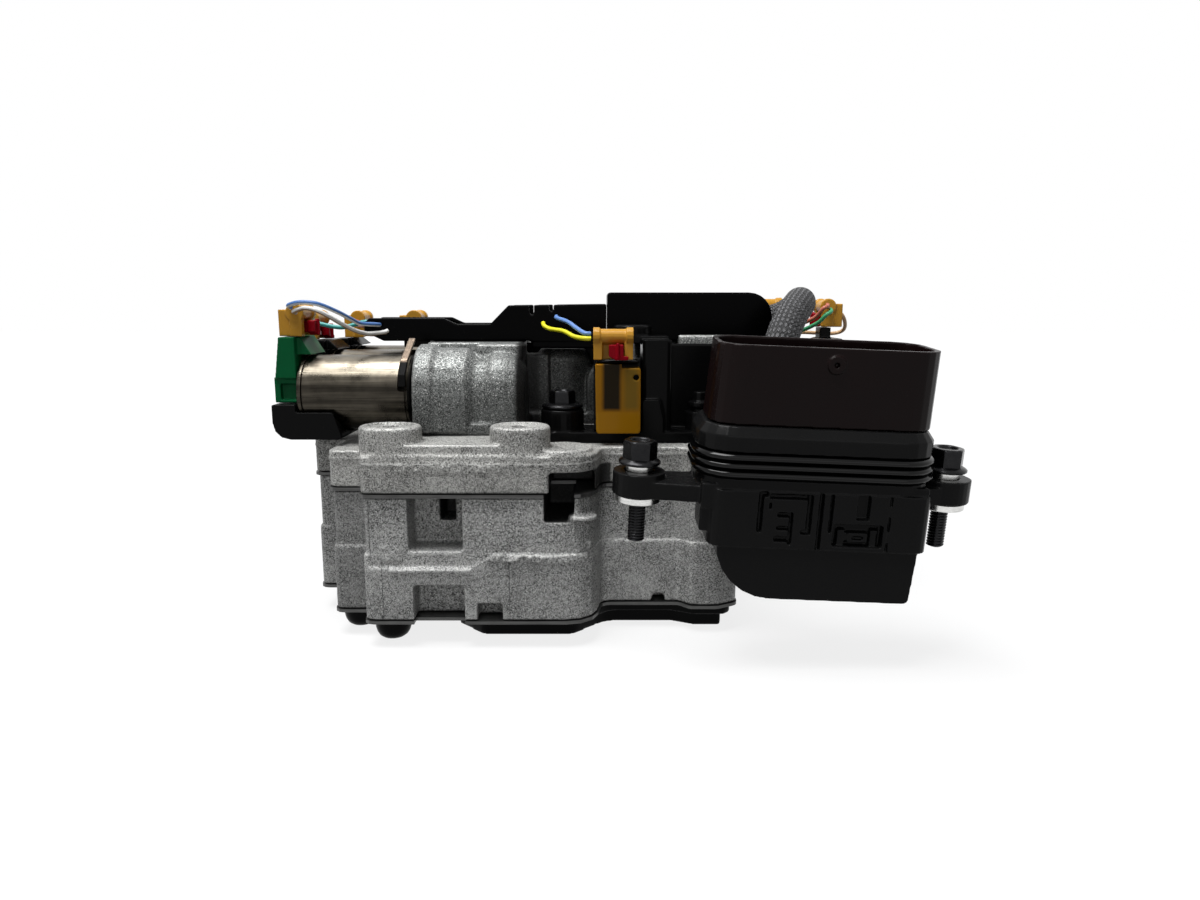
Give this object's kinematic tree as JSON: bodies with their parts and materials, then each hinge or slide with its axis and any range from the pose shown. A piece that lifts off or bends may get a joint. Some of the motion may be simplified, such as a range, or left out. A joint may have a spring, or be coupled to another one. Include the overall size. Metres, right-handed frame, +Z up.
{
  "type": "transmission valve body",
  "caption": "Hydraulic control block of an automatic transmission: stacked castings, banked solenoids, lead tray and a hanging oblong harness connector.",
  "frame": {"origin": "on the lowest flat face of the bottom cover, at mid depth of the castings", "axes": "+X along the solenoid cans, to the right in the picture; +Y away from the front face; +Z up"},
  "size_m": [0.2498, 0.1628, 0.1285],
  "materials": {
    "cast_aluminium": "die cast, grainy",
    "can_steel": "drawn, satin",
    "plate_steel": "coated, satin",
    "cover_metal": "dark, satin",
    "black_plastic": "moulded, glossy",
    "green_plastic": "moulded, satin",
    "tan_plastic": "moulded, satin",
    "red_plastic": "moulded, satin",
    "amber_plastic": "moulded, clear amber",
    "shroud_plastic": "moulded, satin",
    "seal_rubber": "moulded, satin",
    "bolt_steel": "black, satin",
    "bush_aluminium": "turned, bright",
    "spool_metal": "ground, bright",
    "spring_steel": "drawn",
    "braid": "woven",
    "wire_white": "satin",
    "wire_blue": "satin",
    "wire_yellow": "satin",
    "wire_teal": "satin",
    "wire_red": "satin",
    "wire_green": "satin",
    "wire_tan": "satin"
  },
  "bodies": {
    "valve_body": {"bottom_cover": "cover_metal", "lower_gasket_plate": "plate_steel", "lower_valve_body": "cast_aluminium", "separator_plate": "plate_steel", "upper_valve_body": "cast_aluminium", "solenoid_housing": "cast_aluminium", "stack_bolt_1": "bolt_steel", "stack_bolt_2": "bolt_steel", "stack_bolt_3": "bolt_steel", "front_bracket": "black_plastic", "bracket_bolt": "bolt_steel", "solenoid_1_can": "can_steel", "solenoid_1_cap": "green_plastic", "solenoid_1_base": "black_plastic", "solenoid_1_retainer": "can_steel", "solenoid_1_plug": "tan_plastic", "solenoid_2_can": "can_steel", "solenoid_2_cap": "black_plastic", "solenoid_2_plug": "tan_plastic", "solenoid_3_can": "can_steel", "solenoid_3_cap": "black_plastic", "solenoid_3_plug": "tan_plastic", "solenoid_4_can": "can_steel", "solenoid_4_cap": "black_plastic", "solenoid_4_plug": "tan_plastic", "front_solenoid_cap": "amber_plastic", "front_solenoid_coil": "black_plastic", "front_solenoid_plug": "tan_plastic", "pressure_switch": "black_plastic", "pressure_switch_plug": "tan_plastic", "temperature_sensor": "black_plastic", "temperature_sensor_plug": "tan_plastic", "harness_tray": "black_plastic", "tray_hood": "black_plastic", "connector_shroud": "shroud_plastic", "connector_body": "black_plastic", "connector_seal": "seal_rubber", "connector_bush_left": "bush_aluminium", "connector_bush_right": "bush_aluminium", "connector_bolt_left": "bolt_steel", "connector_bolt_right": "bolt_steel", "braided_sleeve": "braid", "regulator_spring": "spring_steel", "regulator_plug": "spool_metal", "lead_1_white": "wire_white", "lead_1_blue": "wire_blue", "lead_front_yellow": "wire_yellow", "lead_front_blue": "wire_blue", "lead_2_teal": "wire_teal", "lead_3_red": "wire_red", "lead_4_red": "wire_red", "lead_4_green": "wire_green", "lead_4_tan": "wire_tan"},
    "lock_1": {"solenoid_1_lock": "red_plastic"},
    "lock_2": {"solenoid_2_lock": "red_plastic"},
    "lock_3": {"solenoid_3_lock": "red_plastic"},
    "lock_4": {"solenoid_4_lock": "red_plastic"},
    "front_lock": {"front_solenoid_lock": "red_plastic"},
    "manual_valve": {"manual_valve": "spool_metal"},
    "regulator_spool": {"regulator_spool": "spool_metal"}
  },
  "joints": [
    {"name": "lock_1_slide", "type": "slide", "parent": "valve_body", "child": "lock_1", "axis": [0, -1, 0], "range_m": [0, 0.0025]},
    {"name": "lock_2_slide", "type": "slide", "parent": "valve_body", "child": "lock_2", "axis": [0, -1, 0], "range_m": [0, 0.0025]},
    {"name": "lock_3_slide", "type": "slide", "parent": "valve_body", "child": "lock_3", "axis": [0, -1, 0], "range_m": [0, 0.0025]},
    {"name": "lock_4_slide", "type": "slide", "parent": "valve_body", "child": "lock_4", "axis": [0, 1, 0], "range_m": [0, 0.0025]},
    {"name": "front_lock_slide", "type": "slide", "parent": "valve_body", "child": "front_lock", "axis": [-1, 0, 0], "range_m": [0, 0.0025]},
    {"name": "manual_valve_slide", "type": "slide", "parent": "valve_body", "child": "manual_valve", "axis": [0, 1, 0], "range_m": [-0.01, 0.01]},
    {"name": "regulator_slide", "type": "slide", "parent": "valve_body", "child": "regulator_spool", "axis": [0, 1, 0], "range_m": [0, 0.004], "stiffness_N_per_m": 1200, "springref_m": -0.002, "deforming": ["regulator_spring"]}
  ]
}
